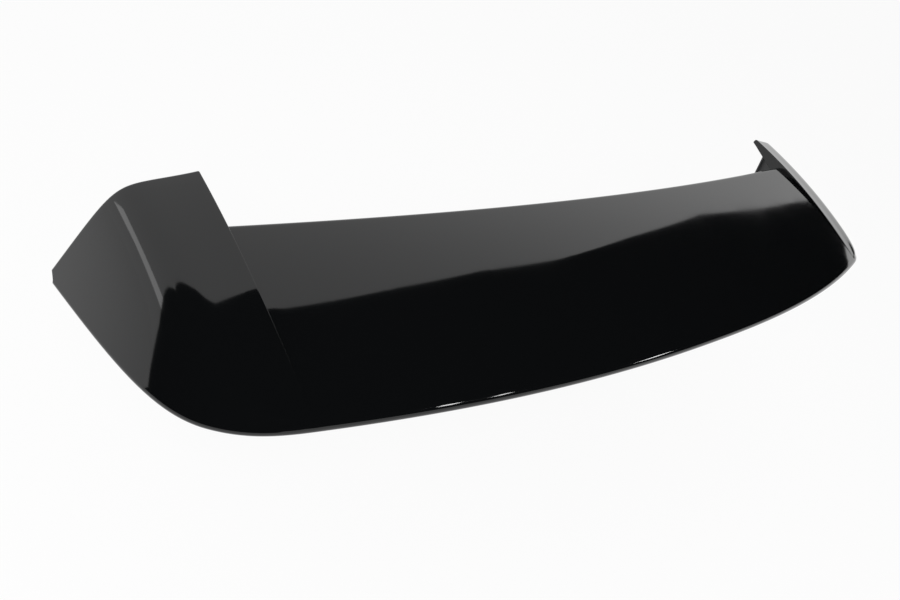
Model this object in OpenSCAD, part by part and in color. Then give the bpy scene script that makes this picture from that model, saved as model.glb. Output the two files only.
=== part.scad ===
// Roof spoiler for a hatchback, moulded in one piece and open beneath.
// X runs across the car, Y towards its front and Z up. The origin lies midway along the row of
// fixings, on the plane where their bosses meet the tailgate.

/* [Centre panel] */
// Distance between the two steps where the wings begin
panel_w = 980; // [860:10:1100]
// Chord of the panel beside a step
panel_chord = 201; // [185:1:212]
// Bow of the trailing edge towards the rear
trail_bow = 50.5; // [30:0.5:60]
// Rise of the trailing edge at the middle of the car
trail_crown = 22; // [10:1:35]
// Bow of the leading edge towards the rear
lead_bow = 17.5; // [4:0.5:22]
// Rise of the leading edge at the middle of the car
lead_crown = 0.5; // [0:0.5:8]

/* [Wings] */
// Reach of a wing from its step out to the foot of the flap
wing_span = 130; // [110:1:150]
// Length of a wing along its step, from nose to horn
wing_chord = 266; // [245:1:280]
// Height of the horn above the trailing edge
horn_rise = 23; // [12:1:32]
// How far the steps spread apart from the trailing edge to the horns, each
step_splay = 5; // [0:0.5:8]
// Camber of the upper surface along a step
camber = 9; // [5:0.5:16]
// Height of the step where the leading edge meets it
step_h = 6.5; // [3:0.5:10]
// Drop of the flap's foot below the trailing edge
flap_drop = 90; // [60:1:120]
// How far back the flap's foot lies from the horn
foot_back = 9; // [0:1:15]
// Reach of the trailing edge past the step before it turns forward
corner_out = 93; // [80:1:105]
// Distance over which the trailing corner turns forward
corner_deep = 53; // [45:1:80]
// Drop of the free edge where the trailing corner begins to turn
corner_fall = 15; // [8:1:20]
// Drop of the free edge where the side of the flap begins
corner_low = 40; // [25:1:50]

/* [Edges] */
// Radius of the rounded nose along the trailing edge
nose_r = 5.75; // [5:0.25:9]
// Radius of the flap's free edge at its foot
foot_r = 3.6; // [3.4:0.1:5]
// Radius of the rolled leading edge
lead_r = 6; // [5:0.25:10]
// Depth of the turned-down leading flange
lead_depth = 15; // [12:0.5:22]
// Radius of the rounded front edge of a wing
front_r = 3.5; // [3.4:0.1:5]
// Depth of the flange along the front edge of a wing
front_depth = 7; // [5.5:0.5:10]
// Width of the return flange under the trailing edge
return_w = 46; // [30:1:60]
// Width of the hem along the foot of a flap
hem_w = 4; // [2:0.5:8]

/* [Shell] */
// Thickness of the moulded skin
wall = 2.8; // [2.4:0.1:3]
// Thickness of a rib
rib_t = 2.4; // [1.8:0.1:3.5]
// Depth of a rib below the skin
rib_h = 13; // [8:0.5:16]

/* [Fixings] */
// Distance between the two inner fixings
inner_spacing = 250; // [200:10:320]
// Distance between the two outer fixings
outer_spacing = 750; // [600:10:820]
// Distance of the fixing row behind the leading edge at a step
fix_back = 66; // [55:1:80]
// Depth of the fixing plane below the leading edge at a step
fix_depth = 28; // [26:1:36]
// Radius of a boss
boss_r = 9.5; // [8:0.25:12]
// Radius of an insert's knurled body
insert_r = 4.4; // [4:0.1:5.5]
// Length of an insert
insert_len = 12; // [8:0.5:14]
// Radius of an insert's flange
insert_flange_r = 6.2; // [5.8:0.1:7.4]
// Thickness of an insert's flange
insert_flange_t = 1.2; // [0.8:0.1:2]
// Radius of the hole that takes the thread
thread_bore_r = 2.5; // [2:0.1:3.2]

/* [Hidden] */

half_w = panel_w / 2;
bow_power = 2.25;
edge_slope = trail_bow * bow_power / half_w;
tip_y = wing_chord - foot_back;
lead_rise = crease_z(panel_chord) - step_h;
panel_camber = camber * pow(panel_chord / wing_chord, 2);

base_rise = (lead_rise - lead_depth + 2 * nose_r) / panel_chord;

fix_y = panel_chord - fix_back;
fix_z = lead_rise - fix_depth;
boss_z = fix_z + insert_flange_t;
hole_spare = 1;
cut = 1;
rib_halves = [inner_spacing / 2, (inner_spacing + outer_spacing) / 4, outer_spacing / 2,
    (outer_spacing + panel_w) / 4];
wing_ribs = [0.22, 0.52];

panel_spans = 2;
wing_spans = 6;
top_steps = 7;
nose_steps = 6;
lead_steps = 3;
wing_start = 0.045;
wing_end = 0.985;
join = wall / 2;
round_fn = 28;

corner_turn = 4.2;
top_reach = 0.64;
side_lean = 0.5;
side_rise = 1.07;
top_fall = 0.14;
probe = 0.004;

function mix(a, b, t) = a + (b - a) * t;
function bezier(a, b, c, d, t) =
    pow(1 - t, 3) * a + 3 * pow(1 - t, 2) * t * b + 3 * (1 - t) * t * t * c + pow(t, 3) * d;
function unit(v) = v / norm(v);

// Upper inner edge of a wing: height over the distance from the trailing edge
function crease_z(y) =
    let (t = y / wing_chord)
    horn_rise * t + camber * 4 * t * (1 - t);

// Highest line of the nose and the front of the leading edge at a place across the panel
function trail_line(x) =
    let (k = 1 - pow(abs(x) / half_w, bow_power))
    [x, -trail_bow * k, trail_crown * k];
function lead_line(x) =
    let (k = 1 - pow(x / half_w, 2))
    [x, panel_chord - lead_bow * k, lead_rise + lead_crown * k];

// Place across the car, spread with the steps towards the front
function spread(x, y) = x * (1 + step_splay * y / (wing_chord * half_w));

// Upper surface of the panel, from the nose at s = 0 to the leading edge at s = 1
function panel_top(x, s) = mix(trail_line(x), lead_line(x) - [0, lead_r, 0], s)
    + [0, 0, panel_camber * 4 * s * (1 - s)];

// Share of its full depth that a rib has along its length
function rib_taper(s) = min(1, 2.6 * s, 4 - 4 * s);

// Path of depth and height a distance inside the panel's section, from the return flange's end
// round the nose, over the top and down the leading flange, with ribs below the top
function panel_path(x, deep, rib) =
    let (trail = trail_line(x), lead = lead_line(x), low = trail[2] - 2 * nose_r)
    concat(
        [[trail[1] + return_w, low + return_w * base_rise + deep]],
        [for (i = [0:nose_steps])
            let (a = 270 - 180 * i / nose_steps, r = nose_r - deep)
            [trail[1] + r * cos(a), trail[2] - nose_r + r * sin(a)]],
        [for (i = [1:top_steps])
            let (s = i / top_steps, p = panel_top(x, s))
            [p[1], p[2] - deep - rib * rib_taper(s)]],
        [for (i = [1:lead_steps])
            let (a = 90 - 90 * i / lead_steps, r = lead_r - deep)
            [lead[1] - lead_r + r * cos(a), lead[2] - lead_r + r * sin(a)]],
        [[lead[1] - deep, lead[2] - lead_depth]]);

// Stations along a skin as pairs of place and rib flag: each rib starts and ends with a step in depth
function stations(from, ribs, to, half_rib, steps) =
    let (stops = concat([from], ribs, [to]), last = len(stops) - 2)
    [for (i = [0:last])
        let (a = stops[i] + (i > 0 ? half_rib : 0), b = stops[i + 1] - (i < last ? half_rib : 0))
        each concat([for (j = [0:steps]) [mix(a, b, j / steps), 0]],
            i < last ? [[b, 1], [b + 2 * half_rib, 1]] : [])];

// Closed solid between rows of points that all have the same number of points
module loft(rows) {
    n = len(rows[0]);
    last = len(rows) - 1;
    sides = [for (i = [0:last - 1]) for (j = [0:n - 1])
        let (a = i * n + j, b = i * n + (j + 1) % n)
        each [[a, b, b + n], [a, b + n, a + n]]];
    ends = [[for (j = [n - 1:-1:0]) j], [for (j = [0:n - 1]) last * n + j]];
    polyhedron(points = [for (row = rows) each row], faces = concat(sides, ends), convexity = 10);
}

// Closed section from an outside path and the same path inside
function closed(outside, inside) =
    concat(outside, [for (j = [len(inside) - 1:-1:0]) inside[j]]);

// Plane path set up in the length of the car, at a place across it and moved out by a shift
function stand(path, x, shift) = [for (p = path) [spread(x, p[0]) + shift, p[0], p[1]]];

function panel_section(x, rib) =
    stand(closed(panel_path(x, 0, 0), panel_path(x, wall, rib)), x, 0);

// Free edge of a wing on its right side, from the nose at t = 0 to the flap's foot at t = 1
function free_edge(t) =
    let (p = bezier([half_w, 0], [half_w + corner_out, edge_slope * corner_out],
            [half_w + corner_out + corner_turn, corner_deep], [half_w + wing_span, tip_y], t))
    [p[0], p[1], -bezier(0, corner_fall, corner_low, flap_drop, t)];
function root_y(t) = (wing_chord - front_r) * free_edge(t)[1] / tip_y;
function wing_width(t) = free_edge(t)[0] - spread(half_w, root_y(t));

// Outside of a wing: k = 0 on the step, k = 1 on the free edge
function wing_top(t, k) =
    let (edge = free_edge(t), y = root_y(t), root = [spread(half_w, y), y, crease_z(y)],
        w = edge[0] - root[0], h = root[2] - edge[2])
    bezier(root, root + [top_reach * w, 0, -top_fall * w],
        edge + [-side_lean * w, (y - edge[1]) * side_rise, side_rise * h], edge, k);

// Direction out of the wing's surface
function wing_normal(t, k) =
    let (tt = min(max(t, 2 * probe), 1 - probe), kk = min(max(k, probe), 1 - probe),
        across = wing_top(tt, kk + probe) - wing_top(tt, kk - probe),
        along = wing_top(tt + probe, kk) - wing_top(tt - probe, kk))
    unit(cross(across, along));

// Line u of the fan that covers a wing, from the free edge at s = 0 to the front edge at s = 1
function fan(u, s) =
    let (t = mix(u, 1, s))
    [t, mix(wing_width(u), u * wing_width(1), s) / wing_width(t)];

// Path a distance inside a wing's section along line u of the fan
function wing_path(u, deep, rib) =
    let (edge_up = wing_normal(u, 1), front_up = wing_normal(1, u),
        along = unit(free_edge(min(u + probe, 1)) - free_edge(u - probe)),
        side = unit(cross(along, edge_up)),
        front_along = unit(wing_top(1, min(u + probe, 1)) - wing_top(1, u - probe)),
        forward = unit(cross(front_up, front_along)),
        edge_r = mix(nose_r, foot_r, pow(u, 0.7)),
        hem = mix(return_w, hem_w, pow(u, 0.4)),
        edge = wing_top(u, 1), front = wing_top(1, u))
    concat(
        [edge - hem * side - (2 * edge_r - hem * base_rise - deep) * edge_up],
        [for (i = [0:nose_steps])
            let (a = 180 * (1 - i / nose_steps), r = edge_r - deep)
            edge - edge_r * edge_up + r * (cos(a) * edge_up + sin(a) * side)],
        [for (i = [1:top_steps])
            let (s = i / top_steps, at = fan(u, s))
            wing_top(at[0], at[1]) - (deep + rib * rib_taper(s)) * wing_normal(at[0], at[1])],
        [for (i = [1:lead_steps])
            let (a = 90 * i / lead_steps, r = front_r - deep)
            front - front_r * front_up + r * (cos(a) * front_up + sin(a) * forward)],
        [front + (front_r - deep) * forward - front_depth * front_up]);

// Path a distance inside a wing's section in the plane of the step
function crease_path(deep) =
    let (panel = panel_path(half_w, deep, 0), tip = wing_chord - front_r, tip_z = crease_z(tip),
        r = front_r - deep)
    concat(
        [for (i = [0:nose_steps + 1]) panel[i]],
        [for (i = [1:top_steps]) let (y = root_y(i / top_steps)) [y, crease_z(y) - deep]],
        [for (i = [1:lead_steps])
            let (a = 90 * i / lead_steps)
            [tip + r * sin(a), tip_z - front_r + r * cos(a)]],
        [[wing_chord - deep, tip_z - front_depth]]);

// Step wall between panel and wing, and inside of the horn beyond the leading edge
function step_sections() =
    let (wall_section = closed(crease_path(0), panel_path(half_w, wall, 0)))
    [stand(wall_section, half_w, 0), stand(wall_section, half_w, wall),
        stand(closed(crease_path(0), crease_path(wall)), half_w, wall)];

// All sections of the right half, from the middle of the car to the flap's foot
function half_sections() = concat(
    [for (at = stations(0, rib_halves, half_w, rib_t / 2, panel_spans)) panel_section(at[0], at[1] * rib_h)],
    step_sections(),
    [for (at = stations(wing_start, wing_ribs, wing_end, rib_t / tip_y, wing_spans))
        closed(wing_path(at[0], 0, 0), wing_path(at[0], wall, at[1] * rib_h))]);

// Moulded skin of the whole spoiler: the left half mirrors the right one
module skin() {
    right = half_sections();
    left = [for (i = [len(right) - 1:-1:1]) [for (p = right[i]) [-p[0], p[1], p[2]]]];
    loft(concat(left, right));
}

// Height of the panel's upper surface over the fixing row
function panel_z(x) =
    let (trail = trail_line(x), lead = lead_line(x),
        s = (fix_y - trail[1]) / (lead[1] - lead_r - trail[1]))
    panel_top(x, s)[2];

// Boss for an insert, with four gussets up to the skin
module boss(x) {
    roof = panel_z(x) - join;
    translate([x, fix_y, boss_z])
        cylinder(r = boss_r, h = roof - boss_z, $fn = round_fn);
    for (a = [45:90:315])
        translate([x, fix_y, 0])
            rotate([90, 0, a])
                linear_extrude(height = rib_t, center = true)
                    polygon([[0, roof], [2 * boss_r, roof], [2 * boss_r, roof - join],
                        [boss_r, boss_z + insert_len], [0, boss_z + insert_len]]);
}

// Blind hole that holds an insert
module boss_hole(x) {
    translate([x, fix_y, fix_z])
        cylinder(r = insert_r, h = insert_flange_t + insert_len + hole_spare, $fn = round_fn);
}

module spoiler_shell() {
    color("#141516")
        translate([0, -fix_y, -fix_z])
            difference() {
                union() {
                    skin();
                    for (side = [-1, 1]) {
                        boss(side * inner_spacing / 2);
                        boss(side * outer_spacing / 2);
                    }
                }
                for (side = [-1, 1]) {
                    boss_hole(side * inner_spacing / 2);
                    boss_hole(side * outer_spacing / 2);
                }
            }
}

// Threaded insert with its flange on the end of a boss
module insert(x) {
    color("#b08d4a")
        translate([x, 0, 0])
            difference() {
                union() {
                    cylinder(r = insert_flange_r, h = insert_flange_t, $fn = round_fn);
                    cylinder(r = insert_r, h = insert_flange_t + insert_len, $fn = round_fn);
                }
                translate([0, 0, -cut])
                    cylinder(r = thread_bore_r, h = insert_flange_t + insert_len + 2 * cut,
                        $fn = round_fn);
            }
}

spoiler_shell();
insert(-outer_spacing / 2);  // insert_outer_left
insert(-inner_spacing / 2);  // insert_inner_left
insert(inner_spacing / 2);  // insert_inner_right
insert(outer_spacing / 2);  // insert_outer_right
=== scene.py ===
"""Looks of a one-piece hatchback roof spoiler in gloss black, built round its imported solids."""

import logging
import math
from dataclasses import dataclass, field
from enum import Enum
from typing import Iterable, Sequence

import bmesh
import bpy
import numpy as np
from mathutils import Matrix, Vector


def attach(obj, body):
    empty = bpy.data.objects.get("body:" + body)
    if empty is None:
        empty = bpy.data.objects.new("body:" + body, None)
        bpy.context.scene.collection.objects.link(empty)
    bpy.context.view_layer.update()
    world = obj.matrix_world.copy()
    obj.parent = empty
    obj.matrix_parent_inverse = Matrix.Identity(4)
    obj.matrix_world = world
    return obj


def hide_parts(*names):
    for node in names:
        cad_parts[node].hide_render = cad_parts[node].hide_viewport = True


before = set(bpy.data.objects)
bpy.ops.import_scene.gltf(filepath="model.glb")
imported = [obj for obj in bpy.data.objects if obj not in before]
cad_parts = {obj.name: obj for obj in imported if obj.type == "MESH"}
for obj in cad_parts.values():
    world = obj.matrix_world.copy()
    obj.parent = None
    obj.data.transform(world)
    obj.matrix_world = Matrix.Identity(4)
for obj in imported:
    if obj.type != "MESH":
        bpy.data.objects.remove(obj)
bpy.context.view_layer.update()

LOG = logging.getLogger("roof_spoiler")
MM = 0.001
BODY = "root"

Point = np.ndarray
Ring = list[Point]


class Side(Enum):
    """The two sides of the car."""

    LEFT = -1
    RIGHT = 1


class Skin(Enum):
    """Material slots of the moulded shell."""

    OUTSIDE = 0
    INSIDE = 1


def linear(hex_colour: str) -> tuple[float, float, float, float]:
    """Turns an sRGB hex colour into linear light.

    Args:
        hex_colour: Six hex digits after a hash sign.

    Returns:
        Red, green, blue and alpha as linear values.
    """
    channels = [int(hex_colour[i:i + 2], 16) / 255 for i in (1, 3, 5)]
    red, green, blue = (c / 12.92 if c <= 0.04045 else ((c + 0.055) / 1.055) ** 2.4 for c in channels)
    return (red, green, blue, 1.0)


def unit(v: Point) -> Point:
    """Returns the vector at length one."""
    return v / np.linalg.norm(v)


def mix(a: float, b: float, t: float) -> float:
    """Returns the value a share t of the way from a to b."""
    return a + (b - a) * t


def bezier(a: Point, b: Point, c: Point, d: Point, t: float) -> Point:
    """Returns the point at t on a cubic Bezier curve with those four controls."""
    return (1 - t) ** 3 * a + 3 * (1 - t) ** 2 * t * b + 3 * (1 - t) * t * t * c + t ** 3 * d


def add_node(tree: bpy.types.NodeTree, kind: str, settings: dict | None = None,
             links: dict | None = None) -> bpy.types.Node:
    """Adds a node with its settings and links.

    Args:
        tree: The node tree it goes in.
        kind: The node's type name.
        settings: Attribute names, or input names, with their values.
        links: Input names with the output sockets that feed them.

    Returns:
        The new node.
    """
    node = tree.nodes.new(kind)
    for name, value in (settings or {}).items():
        if hasattr(node, name):
            setattr(node, name, value)
        else:
            node.inputs[name].default_value = value
    for name, socket in (links or {}).items():
        tree.links.new(socket, node.inputs[name])
    return node


def new_material(name: str) -> tuple[bpy.types.Material, bpy.types.NodeTree, bpy.types.Node]:
    """Makes a material with an empty Principled surface.

    Args:
        name: The material's name.

    Returns:
        The material, its node tree and its Principled node.
    """
    material = bpy.data.materials.new(name)
    material.use_nodes = True
    tree = material.node_tree
    return material, tree, tree.nodes["Principled BSDF"]


def set_sockets(node: bpy.types.Node, values: dict) -> None:
    """Sets a node's own input sockets.

    Args:
        node: The node.
        values: Input names with their values.
    """
    for name, value in values.items():
        node.inputs[name].default_value = value


def white_where_seen(tree: bpy.types.NodeTree) -> bpy.types.NodeSocket:
    """Adds the test for rays that see the studio directly, in a reflection or through a clear body.

    Args:
        tree: The node tree it goes in.

    Returns:
        A socket that is 1 on those rays and 0 on all others.
    """
    rays = add_node(tree, "ShaderNodeLightPath")
    socket = rays.outputs["Is Camera Ray"]
    for name in ("Is Glossy Ray", "Is Transmission Ray"):
        either = add_node(tree, "ShaderNodeMath", {"operation": "MAXIMUM"})
        tree.links.new(socket, either.inputs[0])
        tree.links.new(rays.outputs[name], either.inputs[1])
        socket = either.outputs[0]
    return socket


def place_object(name: str, data: bpy.types.ID) -> bpy.types.Object:
    """Puts mesh, lamp or camera data into the scene.

    Args:
        name: The object's name.
        data: Its data.

    Returns:
        The new object.
    """
    made = bpy.data.objects.new(name, data)
    bpy.context.scene.collection.objects.link(made)
    return made


def shade_smooth(data: bpy.types.Mesh, sharp_deg: float) -> None:
    """Smooths a mesh's shading, apart from its sharp edges.

    Args:
        data: The mesh.
        sharp_deg: Angle from which an edge is sharp.
    """
    data.polygons.foreach_set("use_smooth", [True] * len(data.polygons))
    data.set_sharp_from_angle(angle=math.radians(sharp_deg))


@dataclass(frozen=True)
class GlossBlackLacquer:
    """Piano-black acrylic lacquer over sanded ABS: a deep black with sharp, slightly wavy reflections."""

    colour: str = "#0b0c0d"
    # Acrylic clear coat
    ior: float = 1.5
    # Fresh lacquer is nearly a mirror, and handling leaves it a little duller in patches
    roughness_clean: float = 0.035
    roughness_handled: float = 0.07
    # Patches of handling are about a hand wide
    patch_mm: float = 90.0
    # Orange peel of sprayed lacquer runs at 2 to 4 mm
    peel_mm: float = 3.0
    peel_height_mm: float = 0.0012

    def material(self) -> bpy.types.Material:
        """Builds the lacquer.

        Returns:
            The material.
        """
        material, tree, shader = new_material("gloss_black_acrylic_lacquer")
        set_sockets(shader, {"Base Color": linear(self.colour), "IOR": self.ior})
        place = add_node(tree, "ShaderNodeTexCoord")
        patches = add_node(tree, "ShaderNodeTexNoise", {"Scale": 1 / (self.patch_mm * MM), "Detail": 3.0},
                           {"Vector": place.outputs["Object"]})
        dull = add_node(tree, "ShaderNodeMapRange",
                        {"From Min": 0.35, "From Max": 0.75, "To Min": self.roughness_clean,
                         "To Max": self.roughness_handled}, {"Value": patches.outputs["Fac"]})
        tree.links.new(dull.outputs["Result"], shader.inputs["Roughness"])
        peel = add_node(tree, "ShaderNodeTexNoise", {"Scale": 1 / (self.peel_mm * MM), "Detail": 1.0},
                        {"Vector": place.outputs["Object"]})
        bump = add_node(tree, "ShaderNodeBump", {"Distance": self.peel_height_mm * MM, "Strength": 1.0},
                        {"Height": peel.outputs["Fac"]})
        tree.links.new(bump.outputs["Normal"], shader.inputs["Normal"])
        return material


@dataclass(frozen=True)
class RawMouldedAbs:
    """Injection-moulded black ABS as it leaves a spark-eroded tool: satin, with a fine even grain."""

    colour: str = "#191a1c"
    paler: str = "#202123"
    ior: float = 1.53
    roughness: float = 0.52
    # Spark-eroded grain is near 0.2 mm; drawn at 0.8 mm so that it shows
    grain_mm: float = 0.8
    grain_height_mm: float = 0.03
    # Flow of the melt leaves cloudy patches some centimetres long
    cloud_mm: float = 60.0

    def material(self) -> bpy.types.Material:
        """Builds the raw plastic.

        Returns:
            The material.
        """
        material, tree, shader = new_material("raw_black_abs")
        set_sockets(shader, {"IOR": self.ior, "Roughness": self.roughness})
        place = add_node(tree, "ShaderNodeTexCoord")
        clouds = add_node(tree, "ShaderNodeTexNoise", {"Scale": 1 / (self.cloud_mm * MM), "Detail": 2.0},
                          {"Vector": place.outputs["Object"]})
        tone = add_node(tree, "ShaderNodeMix", {"data_type": "RGBA"})
        tone.inputs[6].default_value = linear(self.colour)
        tone.inputs[7].default_value = linear(self.paler)
        tree.links.new(clouds.outputs["Fac"], tone.inputs[0])
        tree.links.new(tone.outputs[2], shader.inputs["Base Color"])
        grain = add_node(tree, "ShaderNodeTexNoise", {"Scale": 1 / (self.grain_mm * MM), "Detail": 2.0},
                         {"Vector": place.outputs["Object"]})
        bump = add_node(tree, "ShaderNodeBump", {"Distance": self.grain_height_mm * MM, "Strength": 0.6},
                        {"Height": grain.outputs["Fac"]})
        tree.links.new(bump.outputs["Normal"], shader.inputs["Normal"])
        return material


@dataclass(frozen=True)
class TurnedBrass:
    """Free-cutting brass turned on a lathe: warm yellow, with fine rings round the axis."""

    colour: str = "#c9a45c"
    dulled: str = "#9c7c42"
    roughness: float = 0.28
    # Feed marks are near 0.1 mm; drawn at 0.5 mm so that they show
    ring_mm: float = 0.5
    tarnish_mm: float = 6.0

    def material(self) -> bpy.types.Material:
        """Builds the brass.

        Returns:
            The material.
        """
        material, tree, shader = new_material("turned_brass")
        set_sockets(shader, {"Metallic": 1.0, "Roughness": self.roughness})
        place = add_node(tree, "ShaderNodeTexCoord")
        tarnish = add_node(tree, "ShaderNodeTexNoise", {"Scale": 1 / (self.tarnish_mm * MM), "Detail": 3.0},
                           {"Vector": place.outputs["Object"]})
        tone = add_node(tree, "ShaderNodeMix", {"data_type": "RGBA"})
        tone.inputs[6].default_value = linear(self.colour)
        tone.inputs[7].default_value = linear(self.dulled)
        tree.links.new(tarnish.outputs["Fac"], tone.inputs[0])
        tree.links.new(tone.outputs[2], shader.inputs["Base Color"])
        rings = add_node(tree, "ShaderNodeTexWave",
                         {"bands_direction": "Z", "Scale": 1 / (self.ring_mm * MM * math.tau)},
                         {"Vector": place.outputs["Object"]})
        bump = add_node(tree, "ShaderNodeBump", {"Distance": 0.01 * MM, "Strength": 0.4},
                        {"Height": rings.outputs["Fac"]})
        tree.links.new(bump.outputs["Normal"], shader.inputs["Normal"])
        return material


@dataclass(frozen=True)
class StudioWhite:
    """Matt white studio vinyl that shows as white behind the part and still takes its shadow."""

    colour: str = "#ffffff"
    glow: float = 1.0
    # The rest of the light comes from the lamps, so that the part's shadow stays
    glow_share: float = 0.85

    def material(self) -> bpy.types.Material:
        """Builds the floor's surface.

        Returns:
            The material.
        """
        material, tree, shader = new_material("studio_white_vinyl")
        set_sockets(shader, {"Base Color": linear(self.colour), "Roughness": 0.9})
        glow = add_node(tree, "ShaderNodeEmission", {"Color": linear(self.colour), "Strength": self.glow})
        share = add_node(tree, "ShaderNodeMath", {"operation": "MULTIPLY"})
        share.inputs[1].default_value = self.glow_share
        tree.links.new(white_where_seen(tree), share.inputs[0])
        blend = add_node(tree, "ShaderNodeMixShader")
        tree.links.new(share.outputs[0], blend.inputs[0])
        tree.links.new(shader.outputs[0], blend.inputs[1])
        tree.links.new(glow.outputs[0], blend.inputs[2])
        tree.links.new(blend.outputs[0], tree.nodes["Material Output"].inputs["Surface"])
        return material


@dataclass(frozen=True)
class SpoilerForm:
    """Sizes of the moulding in millimetres, and the surfaces that follow from them.

    Lines are worked out with the rear of the wings' steps at y = 0 and the trailing edge's highest
    line at z = 0 beside them. The datum shift then brings them to the fixing plane.
    """

    half_w: float = 490.0
    panel_chord: float = 201.0
    trail_bow: float = 50.5
    trail_crown: float = 22.0
    lead_bow: float = 17.5
    lead_crown: float = 0.5
    bow_power: float = 2.25
    wing_span: float = 130.0
    wing_chord: float = 266.0
    horn_rise: float = 23.0
    step_splay: float = 5.0
    camber: float = 9.0
    step_h: float = 6.5
    flap_drop: float = 90.0
    foot_back: float = 9.0
    corner_out: float = 93.0
    corner_deep: float = 53.0
    corner_fall: float = 15.0
    corner_low: float = 40.0
    corner_turn: float = 4.2
    nose_r: float = 5.75
    foot_r: float = 3.6
    lead_r: float = 6.0
    lead_depth: float = 15.0
    front_r: float = 3.5
    front_depth: float = 7.0
    return_w: float = 46.0
    hem_w: float = 4.0
    top_reach: float = 0.64
    side_lean: float = 0.5
    side_rise: float = 1.07
    top_fall: float = 0.14
    wall: float = 2.8
    rib_t: float = 2.4
    rib_h: float = 13.0
    inner_spacing: float = 250.0
    outer_spacing: float = 750.0
    fix_back: float = 66.0
    fix_depth: float = 28.0
    probe: float = 0.004

    @property
    def tip_y(self) -> float:
        """Depth of the flap's foot ahead of the trailing edge."""
        return self.wing_chord - self.foot_back

    @property
    def lead_rise(self) -> float:
        """Height of the leading edge beside a step."""
        return self.crease_z(self.panel_chord) - self.step_h

    @property
    def panel_camber(self) -> float:
        """Camber of the panel, less than a wing's by its shorter chord."""
        return self.camber * (self.panel_chord / self.wing_chord) ** 2

    @property
    def base_rise(self) -> float:
        """Slope of the return flange."""
        return (self.lead_rise - self.lead_depth + 2 * self.nose_r) / self.panel_chord

    @property
    def datum(self) -> Point:
        """Place of the fixing plane's centre in the frame of the lines."""
        return np.array([0.0, self.panel_chord - self.fix_back, self.lead_rise - self.fix_depth])

    def crease_z(self, y: float) -> float:
        """Returns the height of a wing's upper inner edge at a depth."""
        t = y / self.wing_chord
        return self.horn_rise * t + self.camber * 4 * t * (1 - t)

    def spread(self, x: float, y: float) -> float:
        """Returns the place across the car, spread with the steps towards the front."""
        return x * (1 + self.step_splay * y / (self.wing_chord * self.half_w))

    def trail(self, x: float) -> tuple[float, float]:
        """Returns depth and height of the nose's centre line, raised to its top."""
        k = 1 - (abs(x) / self.half_w) ** self.bow_power
        return -self.trail_bow * k, self.trail_crown * k

    def lead(self, x: float) -> tuple[float, float]:
        """Returns depth and height of the leading edge."""
        k = 1 - (x / self.half_w) ** 2
        return self.panel_chord - self.lead_bow * k, self.lead_rise + self.lead_crown * k

    def free_edge(self, t: float) -> Point:
        """Finds the highest line of a wing's free edge, from the nose to the flap's foot.

        Args:
            t: Share of the way along the edge.

        Returns:
            The point on the edge.
        """
        slope = self.trail_bow * self.bow_power / self.half_w
        turn = self.half_w + self.corner_out
        return bezier(np.array([self.half_w, 0.0, 0.0]),
                      np.array([turn, slope * self.corner_out, -self.corner_fall]),
                      np.array([turn + self.corner_turn, self.corner_deep, -self.corner_low]),
                      np.array([self.half_w + self.wing_span, self.tip_y, -self.flap_drop]), t)

    def root_y(self, t: float) -> float:
        """Returns the depth on the step that goes with a place on the free edge."""
        return (self.wing_chord - self.front_r) * self.free_edge(t)[1] / self.tip_y

    def wing_width(self, t: float) -> float:
        """Returns the width of a wing at a place on its free edge."""
        return self.free_edge(t)[0] - self.spread(self.half_w, self.root_y(t))

    def wing_top(self, t: float, k: float) -> Point:
        """Finds a point on a wing's outside.

        Args:
            t: Share of the way along the free edge.
            k: Share of the way across, from the step at 0 to the free edge at 1.

        Returns:
            The point.
        """
        edge = self.free_edge(t)
        y = self.root_y(t)
        root = np.array([self.spread(self.half_w, y), y, self.crease_z(y)])
        w, h = edge[0] - root[0], root[2] - edge[2]
        return bezier(root, root + np.array([self.top_reach * w, 0, -self.top_fall * w]),
                      edge + np.array([-self.side_lean * w, (y - edge[1]) * self.side_rise,
                                       self.side_rise * h]), edge, k)

    def wing_normal(self, t: float, k: float) -> Point:
        """Finds the direction out of a wing's surface.

        Args:
            t: Share of the way along the free edge.
            k: Share of the way across.

        Returns:
            The direction.
        """
        t = min(max(t, 2 * self.probe), 1 - self.probe)
        k = min(max(k, self.probe), 1 - self.probe)
        across = self.wing_top(t, k + self.probe) - self.wing_top(t, k - self.probe)
        along = self.wing_top(t + self.probe, k) - self.wing_top(t - self.probe, k)
        return unit(np.cross(across, along))

    def fan(self, u: float, s: float) -> tuple[float, float]:
        """Finds a place on the fan of lines that covers a wing's outside.

        Args:
            u: Line of the fan.
            s: Share of the way along that line.

        Returns:
            Shares of the way along the free edge and across the wing.
        """
        t = mix(u, 1, s)
        return t, mix(self.wing_width(u), u * self.wing_width(1), s) / self.wing_width(t)


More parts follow.
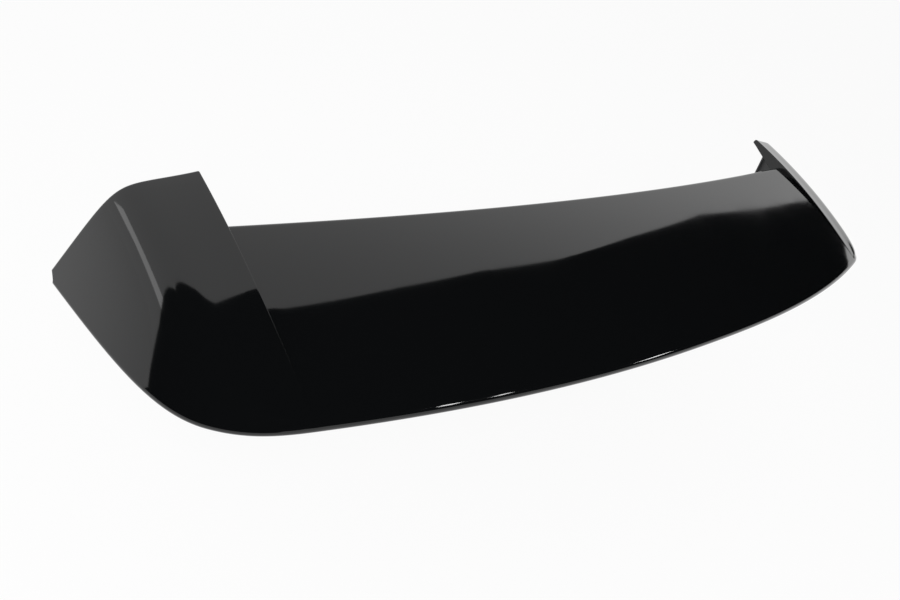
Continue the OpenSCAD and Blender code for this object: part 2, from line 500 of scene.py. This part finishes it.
@dataclass
class MouldedShell:
    """The one-piece skin: centre panel, steps, wings with horns and flaps, flanges and ribs."""

    form: SpoilerForm
    nose_steps: int = 18
    top_steps: int = 44
    lead_steps: int = 10
    span_steps: int = 9
    crease_steps: int = 5
    wing_steps: int = 15
    wing_start: float = 0.03
    wing_end: float = 0.985
    wing_ribs: tuple[float, ...] = (0.22, 0.52)
    crease_r: float = 1.6
    # Part of the step's height that the rounding may take
    crease_share: float = 0.45
    # Rates at which a rib deepens from the rear and runs out at the front
    rib_rise: float = 2.6
    rib_run_out: float = 4.0
    # Powers that spread the thinning of the edge and of the return flange along a wing
    edge_fade: float = 0.7
    hem_fade: float = 0.4
    # Share of the free edge over which its section turns from the panel's to the wing's
    turn_end: float = 0.35
    sharp_deg: float = 34.0
    # Points nearer to each other than this become one
    weld_mm: float = 0.01
    sliver_mm: float = 0.005

    def rib_taper(self, s: float) -> float:
        """Returns the share of its full depth that a rib has along its length."""
        return min(1, self.rib_rise * s, self.rib_run_out * (1 - s))

    def panel_path(self, x: float, deep: float, rib: float) -> Ring:
        """Path a distance inside the panel's section.

        Args:
            x: Place across the car.
            deep: Distance inside the outer surface.
            rib: Depth of a rib there.

        Returns:
            Depth and height of each point, from the return flange's end to the leading flange's.
        """
        f = self.form
        (ty, tz), (ly, lz) = f.trail(x), f.lead(x)
        run = ly - f.lead_r - ty
        start = math.atan2(lz - tz + 4 * f.panel_camber, run)
        end = math.atan2(lz - tz - 4 * f.panel_camber, run)
        nose_r, lead_r = f.nose_r - deep, f.lead_r - deep
        low = tz - 2 * f.nose_r
        path = [np.array([ty + f.return_w, low + f.return_w * f.base_rise + deep])]
        for i in range(self.nose_steps + 1):
            a = mix(1.5 * math.pi, math.pi / 2 + start, i / self.nose_steps)
            path.append(np.array([ty + nose_r * math.cos(a), tz - f.nose_r + nose_r * math.sin(a)]))
        for i in range(1, self.top_steps + 1):
            s = i / self.top_steps
            z = mix(tz, lz, s) + f.panel_camber * 4 * s * (1 - s)
            path.append(np.array([ty + run * s, z - deep - rib * self.rib_taper(s)]))
        for i in range(1, self.lead_steps + 1):
            a = mix(math.pi / 2 + end, 0, i / self.lead_steps)
            path.append(np.array([ly - f.lead_r + lead_r * math.cos(a),
                                  lz - f.lead_r + lead_r * math.sin(a)]))
        path.append(np.array([ly - deep, lz - f.lead_depth]))
        return path

    def crease_path(self, deep: float, lowered: float = 0.0) -> Ring:
        """Path a distance inside a wing's section in the plane of the step.

        Args:
            deep: Distance inside the outer surface.
            lowered: Share of the rounded crease by which the upper line drops.

        Returns:
            Depth and height of each point.
        """
        f = self.form
        path = self.panel_path(f.half_w, deep, 0)[:self.nose_steps + 2]
        r = f.front_r - deep
        tip = f.wing_chord - f.front_r
        for i in range(1, self.top_steps + 1):
            y = f.root_y(i / self.top_steps)
            path.append(np.array([y, f.crease_z(y) - deep - lowered * self.crease_size(y)]))
        drop = lowered * self.crease_r
        for i in range(1, self.lead_steps + 1):
            a = math.pi / 2 * i / self.lead_steps
            path.append(np.array([tip + (r - drop) * math.sin(a),
                                  f.crease_z(tip) - f.front_r + (r - drop) * math.cos(a)]))
        path.append(np.array([f.wing_chord - deep - drop, f.crease_z(tip) - f.front_depth]))
        return path

    def crease_size(self, y: float) -> float:
        """Finds the size of the rounding along the step's upper edge, which fades at the rear.

        Args:
            y: Depth.

        Returns:
            The size.
        """
        f = self.form
        s = min(y / (f.panel_chord - f.lead_r), 1)
        step = f.crease_z(y) - f.lead_rise * s - f.panel_camber * 4 * s * (1 - s)
        return min(self.crease_r, self.crease_share * max(step, 0))

    def edge_frame(self, u: float, along: Point) -> tuple[Point, Point]:
        """Directions up and out of a wing's free edge, turned smoothly from the panel's at the step.

        Args:
            u: Line of the fan.
            along: Direction of the free edge.

        Returns:
            The direction up and the one out.
        """
        q = min(u / self.turn_end, 1)
        share = q * q * (3 - 2 * q)
        up = unit(mix(np.array([0.0, 0.0, 1.0]), self.form.wing_normal(max(u, self.turn_end), 1), share))
        up = unit(up - along * np.dot(up, along))
        return up, unit(np.cross(along, up))

    def wing_path(self, u: float, deep: float, rib: float) -> Ring:
        """Path a distance inside a wing's section along line u of the fan.

        Args:
            u: Line of the fan, from the step at 0 to the flap's foot at 1.
            deep: Distance inside the outer surface.
            rib: Depth of a rib there.

        Returns:
            Points of the right wing.
        """
        f = self.form
        front_up = f.wing_normal(1, u)
        along = unit(f.free_edge(min(u + f.probe, 1)) - f.free_edge(u - f.probe))
        edge_up, side = self.edge_frame(u, along)
        front_along = unit(f.wing_top(1, min(u + f.probe, 1)) - f.wing_top(1, u - f.probe))
        forward = unit(np.cross(front_up, front_along))
        edge_r = mix(f.nose_r, f.foot_r, u ** self.edge_fade)
        hem = mix(f.return_w, f.hem_w, u ** self.hem_fade)
        edge, front = f.wing_top(u, 1), f.wing_top(1, u)
        path = [edge - hem * side - (2 * edge_r - hem * f.base_rise - deep) * edge_up]
        for i in range(self.nose_steps + 1):
            a = math.pi * (1 - i / self.nose_steps)
            path.append(edge - edge_r * edge_up
                        + (edge_r - deep) * (math.cos(a) * edge_up + math.sin(a) * side))
        for i in range(1, self.top_steps + 1):
            s = i / self.top_steps
            t, k = f.fan(u, s)
            path.append(f.wing_top(t, k) - (deep + rib * self.rib_taper(s)) * f.wing_normal(t, k))
        for i in range(1, self.lead_steps + 1):
            a = math.pi / 2 * i / self.lead_steps
            path.append(front - f.front_r * front_up
                        + (f.front_r - deep) * (math.cos(a) * front_up + math.sin(a) * forward))
        path.append(front + (f.front_r - deep) * forward - f.front_depth * front_up)
        return path

    def stand(self, path: Ring, x: float, shift: float | Sequence[float] = 0.0) -> Ring:
        """Sets a path of depth and height up in the length of the car.

        Args:
            path: Depth and height of each point.
            x: Place across the car.
            shift: Distance moved out, one for all points or one for each.

        Returns:
            The points in space.
        """
        shifts = [shift] * len(path) if isinstance(shift, (int, float)) else shift
        return [np.array([self.form.spread(x, p[0]) + d, p[0], p[1]]) for p, d in zip(path, shifts)]

    def stations(self, start: float, ribs: Sequence[float], stop: float, half_rib: float,
                 steps: int) -> list[tuple[float, float]]:
        """Stations along a skin, with a step in depth at both faces of each rib.

        Args:
            start: First place.
            ribs: Places of the ribs' centres.
            stop: Last place.
            half_rib: Half of a rib's thickness.
            steps: Steps between two ribs.

        Returns:
            Each station's place and rib depth.
        """
        stops = [start, *ribs, stop]
        found: list[tuple[float, float]] = []
        for i in range(len(stops) - 1):
            a = stops[i] + (half_rib if i > 0 else 0)
            b = stops[i + 1] - (half_rib if i < len(stops) - 2 else 0)
            found += [(mix(a, b, j / steps), 0.0) for j in range(steps + 1)]
            if i < len(stops) - 2:
                found += [(b, self.form.rib_h), (b + 2 * half_rib, self.form.rib_h)]
        return found

    def step_rings(self) -> list[tuple[Ring, Ring]]:
        """Rings over the step wall and its rounded upper edge.

        Returns:
            Pairs of outer and inner ring.
        """
        f = self.form
        inner = self.panel_path(f.half_w, f.wall, 0)
        tilt = unit(np.array([f.top_reach, -f.top_fall]))
        sharp = self.crease_path(0)
        low = self.crease_path(0, 1.0)
        sizes = [0.0] * (self.nose_steps + 2)
        sizes += [self.crease_size(p[0]) for p in sharp[self.nose_steps + 2:]]
        rings = []
        for j in range(self.crease_steps + 1):
            q = j / self.crease_steps
            outer = []
            for p, s, size in zip(sharp, low, sizes):
                end = np.array([size * tilt[0], p[0], p[1] + size * tilt[1]])
                corner = np.array([0.0, p[0], p[1]])
                first = np.array([0.0, s[0], s[1]])
                point = (1 - q) ** 2 * first + 2 * q * (1 - q) * corner + q * q * end
                outer.append(np.array([f.spread(f.half_w, point[1]) + point[0], point[1], point[2]]))
            rings.append((outer, self.stand(inner, f.half_w, q * f.wall)))
        rings.append((rings[-1][0], self.stand(self.crease_path(f.wall), f.half_w, f.wall)))
        return rings

    def half_rings(self) -> list[tuple[Ring, Ring]]:
        """Rings of the right half, from the middle of the car to the flap's foot.

        Returns:
            Pairs of outer and inner ring.
        """
        f = self.form
        ribs = [f.inner_spacing / 2, (f.inner_spacing + f.outer_spacing) / 4, f.outer_spacing / 2,
                (f.outer_spacing / 2 + f.half_w) / 2]
        rings = [(self.stand(self.panel_path(x, 0, 0), x), self.stand(self.panel_path(x, f.wall, rib), x))
                 for x, rib in self.stations(f.rib_t / 2, ribs, f.half_w, f.rib_t / 2, self.span_steps)]
        middle = [(self.stand(self.panel_path(x, 0, 0), x),
                   self.stand(self.panel_path(x, f.wall, f.rib_h), x)) for x in (0.0, f.rib_t / 2)]
        wings = [(self.wing_path(u, 0, 0), self.wing_path(u, f.wall, rib))
                 for u, rib in self.stations(self.wing_start, self.wing_ribs, self.wing_end,
                                             f.rib_t / f.tip_y, self.wing_steps)]
        return middle + rings + self.step_rings() + wings

    def build(self, outside: bpy.types.Material, inside: bpy.types.Material) -> bpy.types.Object:
        """Builds the shell as one closed mesh.

        Args:
            outside: Finish of the outer surface.
            inside: Finish of the hidden surface.

        Returns:
            The shell.
        """
        right = self.half_rings()
        left = [tuple([p * [-1, 1, 1] for p in ring] for ring in pair) for pair in right[:0:-1]]
        pairs = left + right
        n_outer = len(pairs[0][0])
        rows = np.array([outer + inner[::-1] for outer, inner in pairs])
        rows = (rows - self.form.datum) * MM
        count, size = rows.shape[:2]
        mesh_data = bpy.data.meshes.new("spoiler_skin")
        faces, slots = [], []
        for i in range(count - 1):
            for j in range(size):
                a, b = i * size + j, i * size + (j + 1) % size
                faces.append((a, b, b + size, a + size))
                slots.append(Skin.OUTSIDE.value if j < n_outer - 1 else Skin.INSIDE.value)
        last = (count - 1) * size
        faces.append(tuple(range(size - 1, -1, -1)))
        faces.append(tuple(last + j for j in range(size)))
        slots += [Skin.OUTSIDE.value] * 2
        mesh_data.from_pydata(rows.reshape(-1, 3).tolist(), [], faces)
        mesh_data.polygons.foreach_set("material_index", slots)
        work = bmesh.new()
        work.from_mesh(mesh_data)
        bmesh.ops.remove_doubles(work, verts=work.verts, dist=self.weld_mm * MM)
        bmesh.ops.dissolve_degenerate(work, edges=work.edges, dist=self.sliver_mm * MM)
        bmesh.ops.recalc_face_normals(work, faces=work.faces)
        work.to_mesh(mesh_data)
        work.free()
        shade_smooth(mesh_data, self.sharp_deg)
        shell = place_object("spoiler_skin", mesh_data)
        mesh_data.materials.append(outside)
        mesh_data.materials.append(inside)
        return shell


@dataclass
class FixingBoss:
    """A moulded boss that holds a thread insert, with four gussets up to the skin."""

    shell: MouldedShell
    x: float
    radius: float = 9.5
    draft: float = 0.5
    bore_r: float = 4.4
    seat_z: float = 1.2
    bore_depth: float = 13.0
    sides: int = 48
    gusset_len: float = 12.0
    gusset_tip: float = 1.4
    gusset_turns: tuple[float, ...] = (45, 135, 225, 315)
    bore_bevel: float = 0.4
    rim_bevel: float = 0.5
    sharp_deg: float = 30.0

    def roof(self) -> float:
        """Finds the height of the skin's middle over the boss.

        Returns:
            The height.
        """
        f = self.shell.form
        (ty, tz), (ly, lz) = f.trail(self.x), f.lead(self.x)
        s = (f.datum[1] - ty) / (ly - f.lead_r - ty)
        return mix(tz, lz, s) + f.panel_camber * 4 * s * (1 - s) - f.datum[2] - f.wall / 2

    def build(self, name: str, finish: bpy.types.Material) -> bpy.types.Object:
        """Builds the boss.

        Args:
            name: The piece's name.
            finish: The raw plastic.

        Returns:
            The boss.
        """
        top = self.roof()
        work = bmesh.new()
        profile = [(0.0, self.seat_z + self.bore_depth), (self.bore_r, self.seat_z + self.bore_depth),
                   (self.bore_r, self.seat_z + self.bore_bevel),
                   (self.bore_r + self.bore_bevel, self.seat_z),
                   (self.radius - self.rim_bevel, self.seat_z),
                   (self.radius, self.seat_z + self.rim_bevel),
                   (self.radius + self.draft, top), (0.0, top)]
        rows = []
        for r, z in profile:
            ring = [work.verts.new(Vector((self.x + r * math.cos(math.tau * i / self.sides),
                                           r * math.sin(math.tau * i / self.sides), z)) * MM)
                    for i in range(self.sides)]
            rows.append(ring)
        for low, high in zip(rows, rows[1:]):
            for i in range(self.sides):
                j = (i + 1) % self.sides
                work.faces.new((low[i], low[j], high[j], high[i]))
        half = self.shell.form.rib_t / 2
        for a in self.gusset_turns:
            out = Vector((math.cos(math.radians(a)), math.sin(math.radians(a)), 0))
            across = Vector((-out.y, out.x, 0))
            outline = [(0, top), (2 * self.radius, top), (2 * self.radius, top - self.gusset_tip),
                       (self.radius, self.seat_z + self.gusset_len), (0, self.seat_z + self.gusset_len)]
            faces = []
            for side in (-half, half):
                faces.append([work.verts.new((Vector((self.x, 0, z)) + out * r + across * side) * MM)
                              for r, z in outline])
            work.faces.new(faces[0][::-1])
            work.faces.new(faces[1])
            for i in range(len(outline)):
                j = (i + 1) % len(outline)
                work.faces.new((faces[0][i], faces[0][j], faces[1][j], faces[1][i]))
        bmesh.ops.remove_doubles(work, verts=work.verts, dist=0.001 * MM)
        bmesh.ops.recalc_face_normals(work, faces=work.faces)
        data = bpy.data.meshes.new(name)
        work.to_mesh(data)
        work.free()
        shade_smooth(data, self.sharp_deg)
        data.materials.append(finish)
        return place_object(name, data)


@dataclass
class Studio:
    """Floor, flags, lamps, world and camera."""

    floor_z: float = -0.42
    floor_half: float = 30.0
    # Camera fitted to the photo's outline, in the part's frame
    camera_at: tuple[float, float, float] = (-0.72226, -0.34721, 0.48610)
    camera_right: tuple[float, float, float] = (0.781506, -0.487975, 0.388752)
    camera_down: tuple[float, float, float] = (-0.166500, -0.763629, -0.623818)
    lens: float = 28.0
    sensor: float = 36.0
    near_clip: float = 0.01
    far_clip: float = 200.0
    # Height of the dark flag, and its front edge, which draws the line between grey and black
    flag_z: float = 1.5
    flag_edge: tuple[tuple[float, float], ...] = (
        (-2.13, 1.065), (-0.71, 0.72), (-0.45, 0.60), (0.05, 0.63), (0.24, 0.70), (0.62, 0.84),
        (1.14, 0.99), (1.71, 1.06), (2.46, 1.23), (3.37, 1.37), (4.16, 1.21), (5.2, 1.07), (9.0, 0.8))
    flag_left: float = -2.6
    flag_back: float = -6.0
    side_flag_front: float = 0.69
    side_flag_low: float = -0.16
    # Middle and width of each glint card across the car, and its reach behind the part
    glint_spots: tuple[tuple[float, float], ...] = ((0.2, 0.10), (0.5, 0.07), (1.7, 0.18))
    glint_reach: tuple[float, float] = (-0.8, -1.3)
    glint_drop: float = 0.05
    glint_light: float = 20.0
    shoulder_outline: tuple[tuple[float, float, float], ...] = (
        (-2.6, 1.9, 0.42), (-3.1, 1.25, 0.34), (-3.1, 1.25, 0.62), (-2.6, 1.9, 0.74))
    shoulder_light: float = 2.6
    key_at: tuple[float, float, float] = (-1.2, -1.0, 1.6)
    key_size: float = 0.8
    key_watts: float = 18.0
    world_level: float = 0.7

    def camera(self) -> bpy.types.Object:
        """Builds the camera and makes it the scene's.

        Returns:
            The camera.
        """
        data = bpy.data.cameras.new("photo_camera")
        data.lens = self.lens
        data.sensor_width = self.sensor
        data.clip_start = self.near_clip
        data.clip_end = self.far_clip
        camera = place_object("photo_camera", data)
        right, up = Vector(self.camera_right), -Vector(self.camera_down)
        back = right.cross(up).normalized()
        up = back.cross(right).normalized()
        turn = Matrix((right, up, back)).transposed().to_4x4()
        camera.matrix_world = Matrix.Translation(self.camera_at) @ turn
        bpy.context.scene.camera = camera
        return camera

    def flag(self, name: str, points: Iterable[tuple[float, float, float]], colour: str,
             strength: float) -> bpy.types.Object:
        """Builds a card that only reflections see.

        Args:
            name: The card's name.
            points: Its outline.
            colour: Its colour.
            strength: Its light, 0 on a dark flag.

        Returns:
            The card.
        """
        data = bpy.data.meshes.new(name)
        outline = list(points)
        data.from_pydata(outline, [], [tuple(range(len(outline)))])
        material = bpy.data.materials.new(name)
        material.use_nodes = True
        tree = material.node_tree
        tree.nodes.remove(tree.nodes["Principled BSDF"])
        glow = add_node(tree, "ShaderNodeEmission", {"Color": linear(colour), "Strength": strength})
        tree.links.new(glow.outputs[0], tree.nodes["Material Output"].inputs["Surface"])
        data.materials.append(material)
        card = place_object(name, data)
        card.visible_camera = False
        card.visible_diffuse = False
        card.visible_shadow = False
        card.visible_transmission = False
        return card

    def floor(self, finish: bpy.types.Material) -> bpy.types.Object:
        """Builds the floor.

        Args:
            finish: Its white surface.

        Returns:
            The floor.
        """
        h = self.floor_half
        data = bpy.data.meshes.new("studio_floor")
        data.from_pydata([(-h, -h, self.floor_z), (h, -h, self.floor_z), (h, h, self.floor_z),
                          (-h, h, self.floor_z)], [], [(0, 1, 2, 3)])
        data.materials.append(finish)
        floor = place_object("studio_floor", data)
        return floor

    def dark_flags(self) -> None:
        """Hangs the dark flags whose edge draws the line between grey and black on the gloss."""
        z, left, back = self.flag_z, self.flag_left, self.flag_back
        (first_x, first_y), (last_x, _) = self.flag_edge[0], self.flag_edge[-1]
        outline = [(x, y, z) for x, y in self.flag_edge] + [(last_x, back, z), (left, back, z)]
        self.flag("flag_above", outline, "#000000", 0.0)
        wall = [(first_x, first_y, z), (left, back, z), (left, back, self.side_flag_low),
                (first_x, self.side_flag_front, self.side_flag_low)]
        self.flag("flag_left", wall, "#000000", 0.0)

    def glint_cards(self) -> None:
        """Hangs the small bright cards that glint along the nose and on the left shoulder."""
        z = self.flag_z - self.glint_drop
        front, back = self.glint_reach
        for number, (x, width) in enumerate(self.glint_spots):
            near, far = x - width / 2, x + width / 2
            card = [(near, front, z), (far, front, z), (far, back, z), (near, back, z)]
            self.flag(f"glint_card_{number + 1}", card, "#ffffff", self.glint_light)
        self.flag("shoulder_card", self.shoulder_outline, "#ffffff", self.shoulder_light)

    def lamp(self, name: str, at: tuple[float, float, float], size: float, power: float,
             target: tuple[float, float, float] = (0.0, 0.0, 0.0)) -> bpy.types.Object:
        """Hangs a square softbox turned to a target.

        Args:
            name: The lamp's name.
            at: Its place.
            size: Its side.
            power: Its power in watts.
            target: The point that it faces.

        Returns:
            The lamp.
        """
        data = bpy.data.lights.new(name, "AREA")
        data.size = size
        data.energy = power
        lamp = place_object(name, data)
        lamp.location = at
        lamp.rotation_euler = (Vector(target) - Vector(at)).to_track_quat("-Z", "Y").to_euler()
        return lamp

    def world(self) -> None:
        """Lights the room evenly, white where it is seen or reflected."""
        world = bpy.data.worlds.new("studio_world")
        bpy.context.scene.world = world
        world.use_nodes = True
        tree = world.node_tree
        back = tree.nodes["Background"]
        back.inputs["Color"].default_value = linear("#ffffff")
        level = add_node(tree, "ShaderNodeMapRange", {"To Min": self.world_level, "To Max": 1.0},
                         {"Value": white_where_seen(tree)})
        tree.links.new(level.outputs["Result"], back.inputs["Strength"])

    def build(self) -> None:
        """Builds the whole studio round the part."""
        self.floor(StudioWhite().material())
        self.dark_flags()
        self.glint_cards()
        self.world()
        key = self.lamp("key_softbox", self.key_at, self.key_size, self.key_watts)
        key.visible_glossy = False


@dataclass
class RoofSpoiler:
    """The whole part."""

    form: SpoilerForm = field(default_factory=SpoilerForm)

    def dress_inserts(self, brass: bpy.types.Material) -> None:
        """Gives the thread inserts their brass.

        Args:
            brass: The turned brass.
        """
        for name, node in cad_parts.items():
            if name.startswith("insert_"):
                for slot in node.material_slots:
                    slot.material = brass
                LOG.info("dressed %s", name)

    def build(self) -> None:
        """Builds the shell and its bosses and dresses the inserts."""
        raw = RawMouldedAbs().material()
        moulded = MouldedShell(self.form)
        shell = moulded.build(GlossBlackLacquer().material(), raw)
        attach(shell, BODY)
        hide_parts("spoiler_shell")
        LOG.info("built %s with %d faces", shell.name, len(shell.data.polygons))
        for side in Side:
            for place, spacing in (("inner", self.form.inner_spacing), ("outer", self.form.outer_spacing)):
                boss = FixingBoss(moulded, side.value * spacing / 2)
                piece = boss.build(f"boss_{place}_{side.name.lower()}", raw)
                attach(piece, BODY)
                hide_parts("spoiler_shell")
                LOG.info("built %s", piece.name)
        self.dress_inserts(TurnedBrass().material())


def main() -> None:
    """Builds the studio and the part."""
    logging.basicConfig(level=logging.INFO)
    bpy.context.scene.view_settings.view_transform = "Standard"
    studio = Studio()
    studio.camera()
    studio.build()
    RoofSpoiler().build()


if __name__ == "__main__":
    main()
